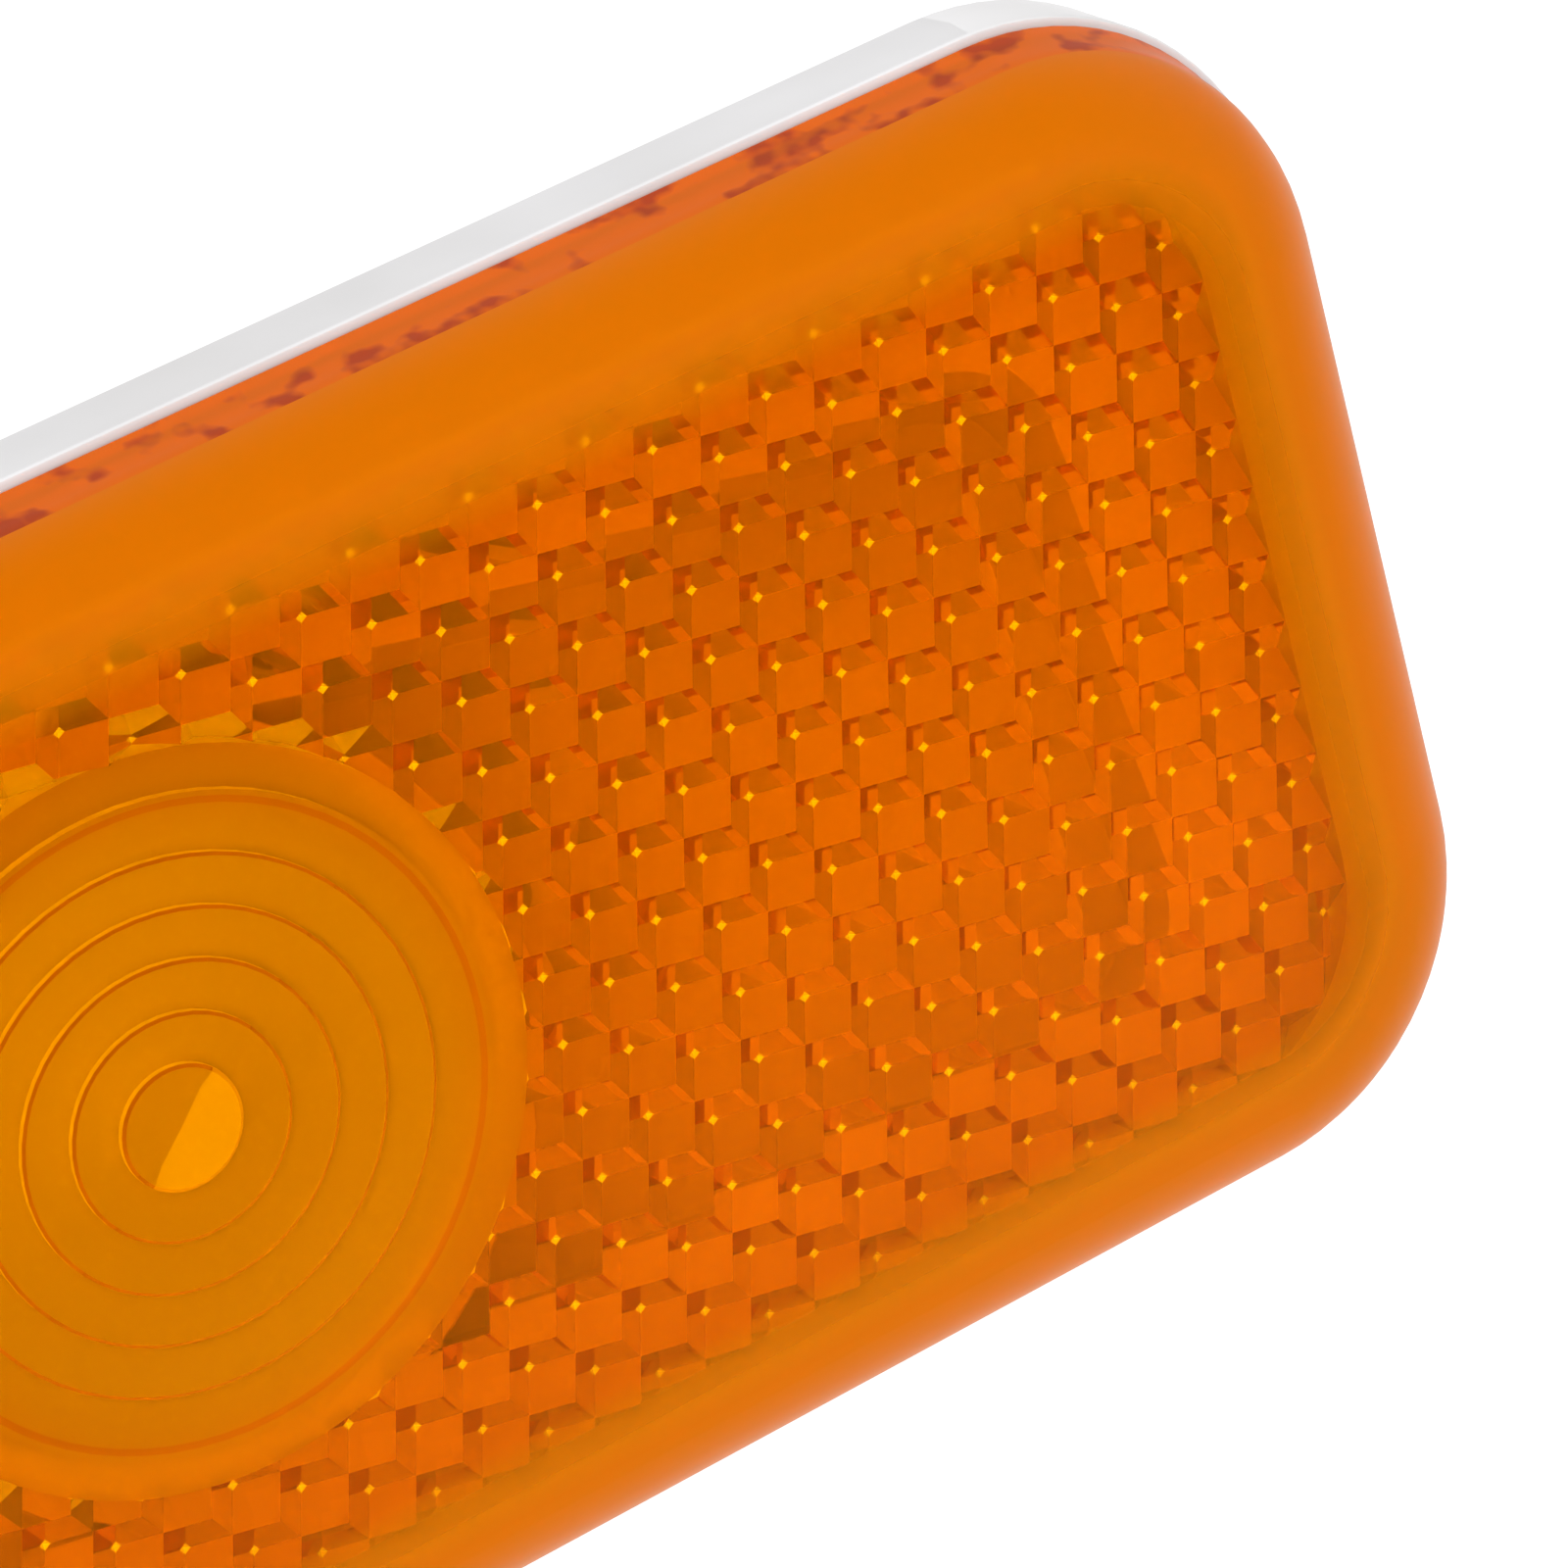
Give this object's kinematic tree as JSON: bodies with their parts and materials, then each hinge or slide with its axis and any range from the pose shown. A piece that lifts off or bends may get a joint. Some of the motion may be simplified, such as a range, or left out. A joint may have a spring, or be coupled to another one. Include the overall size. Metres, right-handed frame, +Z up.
{
  "type": "side repeater lamp",
  "caption": "Rectangular amber side repeater with a corner-cube reflector field and a bull's-eye, on a white clip-in housing with a twist-in bulb holder.",
  "frame": {"origin": "centre of the slot in the panel, on the panel's outer face, on the bull's-eye's axis", "axes": "+X along the lamp towards the spring clip, +Z up, -Y out of the panel, the way the lens faces"},
  "size_m": [0.0948, 0.0494, 0.042],
  "materials": {
    "lens": "polished clear amber acrylic",
    "housing": "moulded white, satin",
    "gasket": "matt closed-cell foam rubber",
    "clip": "zinc-plated spring steel",
    "holder": "moulded natural nylon, fine matt",
    "seal": "smooth silicone rubber",
    "terminal": "tinned strip",
    "bulb_glass": "clear blown glass",
    "filament": "fine tungsten coil",
    "lead_wire": "drawn wire"
  },
  "bodies": {
    "root": {"lens": "lens", "housing": "housing", "panel_gasket": "gasket", "spring_clip": "clip", "bulb_holder": "holder", "holder_seal": "seal", "terminal_feed": "terminal", "terminal_earth": "terminal", "bulb_glass": "bulb_glass", "bulb_filament": "filament", "bulb_lead_wires": "lead_wire"}
  },
  "joints": []
}
